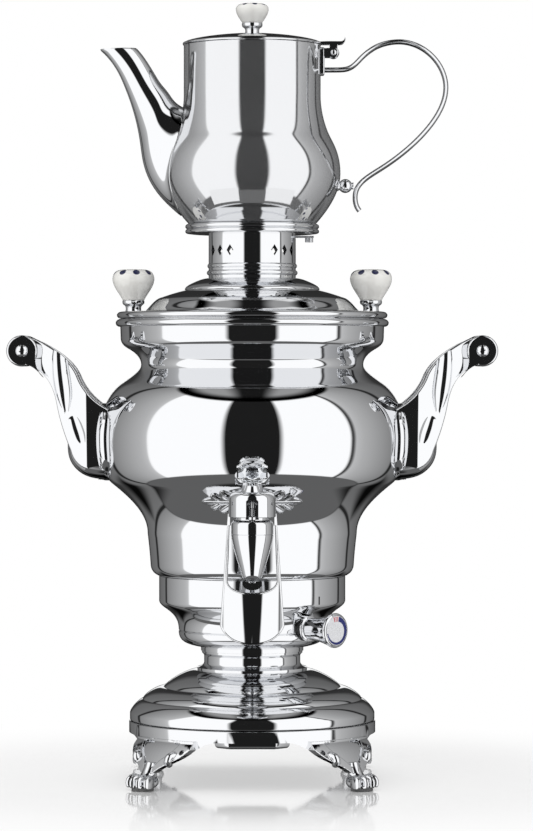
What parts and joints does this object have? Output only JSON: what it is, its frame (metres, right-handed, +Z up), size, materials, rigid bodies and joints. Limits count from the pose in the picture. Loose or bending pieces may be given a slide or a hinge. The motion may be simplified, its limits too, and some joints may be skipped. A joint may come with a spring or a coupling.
{
  "type": "electric samovar",
  "caption": "Electric tea urn with a footed base, push-lever tap, thermostat dial, carrying handles, vented steam chimney and a lidded teapot on top.",
  "frame": {"origin": "on the urn's axis in the plane of the floor, between the four feet", "axes": "+Z up the urn, -Y the side with the tap, +X to the right of someone facing the tap, on the side of the dial and the teapot handle"},
  "size_m": [0.3144, 0.2236, 0.4995],
  "materials": {
    "polished_steel": "mirror polished stainless steel and chromed castings",
    "plain_steel": "plain stainless and zinc plated steel",
    "brass": "plain brass",
    "foot_rubber": "black anti-slip rubber",
    "seal_rubber": "food grade silicone rubber",
    "dark_plastic": "heat resistant moulded plastic",
    "terminal_ceramic": "unglazed steatite",
    "porcelain": "white glazed porcelain with small dark blue dots round the shoulder",
    "dial_print": "light disc with a tapering dark blue band and three red ticks",
    "crystal": "clear facetted crystal glass"
  },
  "bodies": {
    "samovar": {"foot_pads": "foot_rubber", "leg_front_left": "polished_steel", "leg_front_right": "polished_steel", "leg_rear_left": "polished_steel", "leg_rear_right": "polished_steel", "base_skirt": "polished_steel", "base_dome": "polished_steel", "base_cover": "plain_steel", "bottom_box": "polished_steel", "tie_bolt": "plain_steel", "tie_nuts": "plain_steel", "pedestal_neck": "polished_steel", "heater_housing": "polished_steel", "mains_inlet": "dark_plastic", "inlet_pins": "brass", "terminal_block": "terminal_ceramic", "thermostat": "plain_steel", "thermostat_collar": "dark_plastic", "thermal_cutout": "dark_plastic", "heating_element": "plain_steel", "element_gaskets": "seal_rubber", "element_nuts": "brass", "tank_shell": "polished_steel", "tap_escutcheon": "polished_steel", "tap_body": "polished_steel", "tap_washer": "seal_rubber", "tap_nut": "brass", "tap_spring": "plain_steel", "lever_pin": "plain_steel", "handle_left": "polished_steel", "handle_right": "polished_steel", "handle_grip_left": "polished_steel", "handle_grip_right": "polished_steel", "handle_screws": "plain_steel", "handle_studs": "plain_steel", "handle_nuts": "brass"},
    "dial": {"thermostat_shaft": "plain_steel", "thermostat_knob": "polished_steel", "dial_disc": "dial_print"},
    "lever": {"tap_lever": "polished_steel", "lever_neck": "polished_steel", "crystal_handle": "crystal"},
    "valve": {"tap_valve": "plain_steel", "valve_seal": "seal_rubber"},
    "lid": {"lid_shell": "polished_steel", "lid_knob_left": "porcelain", "lid_knob_right": "porcelain", "lid_knob_ferrules": "polished_steel", "chimney": "polished_steel", "teapot_holder": "polished_steel"},
    "damper": {"damper_sleeve": "plain_steel"},
    "teapot": {"teapot_shell": "polished_steel", "teapot_spout": "polished_steel", "teapot_strainer": "plain_steel", "teapot_handle": "polished_steel", "handle_ball": "polished_steel", "hinge_pin": "plain_steel"},
    "teapot_cover": {"teapot_lid": "polished_steel", "teapot_knob": "porcelain", "teapot_ferrule": "polished_steel"}
  },
  "joints": [
    {"name": "lever_hinge", "type": "hinge", "parent": "samovar", "child": "lever", "pos_m": [0, -0.1175, 0.182], "axis": [1, 0, 0], "range_deg": [0, 12], "stiffness_Nm_per_rad": 0.8, "springref_deg": -5.73},
    {"name": "valve_lift", "type": "slide", "parent": "samovar", "child": "valve", "axis": [0, 0, 1], "range_m": [0, 0.0016], "stiffness_N_per_m": 40, "springref_m": -0.002, "deforming": ["tap_spring"]},
    {"name": "dial_turn", "type": "hinge", "parent": "samovar", "child": "dial", "pos_m": [0.04243, -0.04243, 0.099], "axis": [-0.7071, 0.7071, 0], "range_deg": [0, 270]},
    {"name": "lid_lift", "type": "slide", "parent": "samovar", "child": "lid", "axis": [0, 0, 1], "range_m": [0, 0.1]},
    {"name": "damper_turn", "type": "hinge", "parent": "lid", "child": "damper", "pos_m": [0, 0, 0.34], "axis": [0, 0, 1], "range_deg": [0, 42]},
    {"name": "teapot_lift", "type": "slide", "parent": "lid", "child": "teapot", "axis": [0, 0, 1], "range_m": [0, 0.08]},
    {"name": "cover_hinge", "type": "hinge", "parent": "teapot", "child": "teapot_cover", "pos_m": [0.0524, 0, 0.4675], "axis": [0, 1, 0], "range_deg": [0, 80]}
  ],
  "couplings": [
    {"joint": "valve_lift", "follows": "lever_hinge", "m_per_rad": 0.0075}
  ]
}
